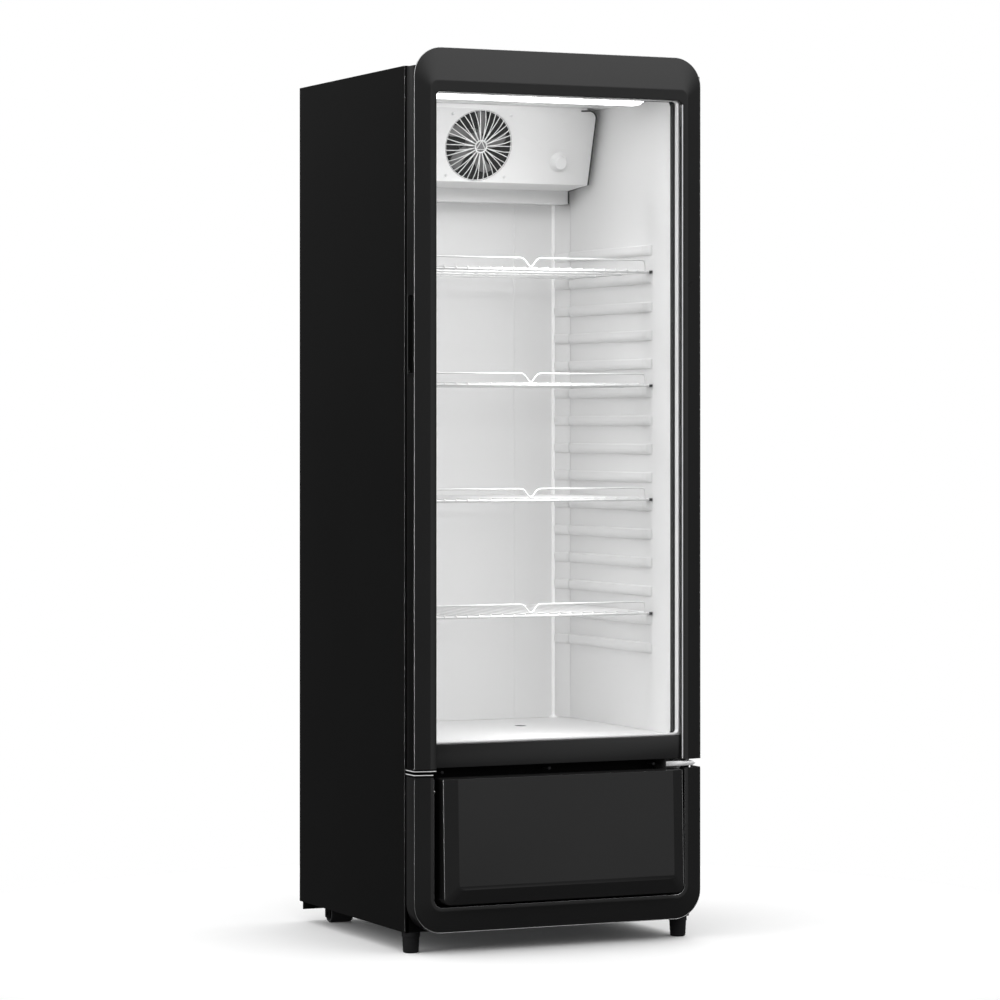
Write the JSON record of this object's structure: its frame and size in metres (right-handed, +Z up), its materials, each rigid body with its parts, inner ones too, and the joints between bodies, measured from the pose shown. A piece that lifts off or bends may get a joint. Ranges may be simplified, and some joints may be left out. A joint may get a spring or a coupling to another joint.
{
  "type": "glass door merchandiser",
  "caption": "Upright black display refrigerator with a hinged glass door, wire shelves in a white lit interior, and a raised lower front panel.",
  "frame": {"origin": "on the floor, under the middle of the object's bounding box", "axes": "+Z up; -Y is the front, where the door is; +X is to the right of a person facing the door"},
  "size_m": [0.65, 0.667, 1.8365],
  "materials": {
    "black_enamel": "semi-gloss black enamel on sheet steel",
    "black_plastic": "satin black moulding",
    "dark_rubber": "matt black",
    "white_liner": "smooth white",
    "white_wire": "white coated wire",
    "foam": "rigid polyurethane foam",
    "clear_glass": "clear float glass",
    "bright_metal": "satin bright metal",
    "diffuser": "lit white diffuser",
    "grey_plastic": "dark grey moulding",
    "galvanised": "galvanised sheet steel"
  },
  "bodies": {
    "cabinet": {"left_side_panel": "black_enamel", "right_side_panel": "black_enamel", "top_panel": "black_enamel", "back_panel": "black_enamel", "face_frame": "black_enamel", "top_hinge": "black_enamel", "base_frame": "black_enamel", "roller_bracket_left": "black_enamel", "roller_bracket_right": "black_enamel", "compressor": "black_enamel", "condenser_coil": "black_enamel", "rear_grille": "black_enamel", "lower_trim": "black_plastic", "lower_front_panel": "black_plastic", "power_gland": "dark_rubber", "liner_left_wall": "white_liner", "liner_right_wall": "white_liner", "liner_back_wall": "white_liner", "liner_floor": "white_liner", "liner_ceiling": "white_liner", "left_corner_post": "white_liner", "right_corner_post": "white_liner", "light_housing": "white_liner", "evaporator_cover": "white_liner", "evaporator_drip_tray": "white_liner", "evaporator_fan_guard": "white_wire", "foam_insulation": "foam", "bottom_hinge": "bright_metal", "evaporator_coil": "bright_metal", "light_diffuser": "diffuser", "evaporator_fan_motor": "grey_plastic", "thermostat_body": "grey_plastic", "front_carrier": "grey_plastic", "condenser_fan_motor": "grey_plastic", "condensate_tray": "grey_plastic", "base_plate": "galvanised", "condenser_fan_shroud": "galvanised"},
    "evaporator_fan": {"evaporator_fan_blade": "grey_plastic"},
    "condenser_fan": {"condenser_fan_blade": "grey_plastic"},
    "thermostat": {"thermostat_knob": "white_liner"},
    "upper_shelf": {"shelf_1": "white_wire"},
    "second_shelf": {"shelf_2": "white_wire"},
    "third_shelf": {"shelf_3": "white_wire"},
    "lower_shelf": {"shelf_4": "white_wire"},
    "left_foot": {"levelling_foot_left": "dark_rubber"},
    "right_foot": {"levelling_foot_right": "dark_rubber"},
    "left_roller": {"rear_roller_left": "dark_rubber"},
    "right_roller": {"rear_roller_right": "dark_rubber"},
    "door": {"door_trim": "black_plastic", "door_left_bar": "black_plastic", "door_right_bar": "black_plastic", "door_top_bar": "black_plastic", "door_bottom_rail": "black_plastic", "door_pull": "black_plastic", "door_gasket": "dark_rubber", "door_glass_outer": "clear_glass", "door_glass_inner": "clear_glass", "door_glass_spacer": "bright_metal", "door_bush_bottom": "grey_plastic", "door_bush_top": "grey_plastic"}
  },
  "joints": [
    {"name": "door_hinge", "type": "hinge", "parent": "cabinet", "child": "door", "pos_m": [0.303, -0.2715, 0.5], "axis": [0, 0, 1], "range_deg": [0, 115]},
    {"name": "evaporator_fan_spin", "type": "hinge", "parent": "cabinet", "child": "evaporator_fan", "pos_m": [-0.008, 0.11129, 1.67605], "axis": [0, -0.9599, -0.2803], "continuous": true},
    {"name": "condenser_fan_spin", "type": "hinge", "parent": "cabinet", "child": "condenser_fan", "pos_m": [-0.08, -0.101, 0.185], "axis": [0, -1, 0], "continuous": true},
    {"name": "thermostat_turn", "type": "hinge", "parent": "cabinet", "child": "thermostat", "pos_m": [0.184, 0.10248, 1.642], "axis": [0, -0.9599, -0.2803], "range_deg": [0, 270]},
    {"name": "upper_shelf_slide", "type": "slide", "parent": "cabinet", "child": "upper_shelf", "axis": [0, -1, 0], "range_m": [0, 0.085]},
    {"name": "second_shelf_slide", "type": "slide", "parent": "cabinet", "child": "second_shelf", "axis": [0, -1, 0], "range_m": [0, 0.085]},
    {"name": "third_shelf_slide", "type": "slide", "parent": "cabinet", "child": "third_shelf", "axis": [0, -1, 0], "range_m": [0, 0.085]},
    {"name": "lower_shelf_slide", "type": "slide", "parent": "cabinet", "child": "lower_shelf", "axis": [0, -1, 0], "range_m": [0, 0.085]},
    {"name": "left_foot_turn", "type": "hinge", "parent": "cabinet", "child": "left_foot", "pos_m": [-0.305, -0.2275, 0.02], "axis": [0, 0, 1], "continuous": true},
    {"name": "right_foot_turn", "type": "hinge", "parent": "cabinet", "child": "right_foot", "pos_m": [0.305, -0.2275, 0.02], "axis": [0, 0, 1], "continuous": true},
    {"name": "left_roller_spin", "type": "hinge", "parent": "cabinet", "child": "left_roller", "pos_m": [-0.255, 0.2765, 0.0195], "axis": [1, 0, 0], "continuous": true},
    {"name": "right_roller_spin", "type": "hinge", "parent": "cabinet", "child": "right_roller", "pos_m": [0.255, 0.2765, 0.0195], "axis": [1, 0, 0], "continuous": true}
  ]
}
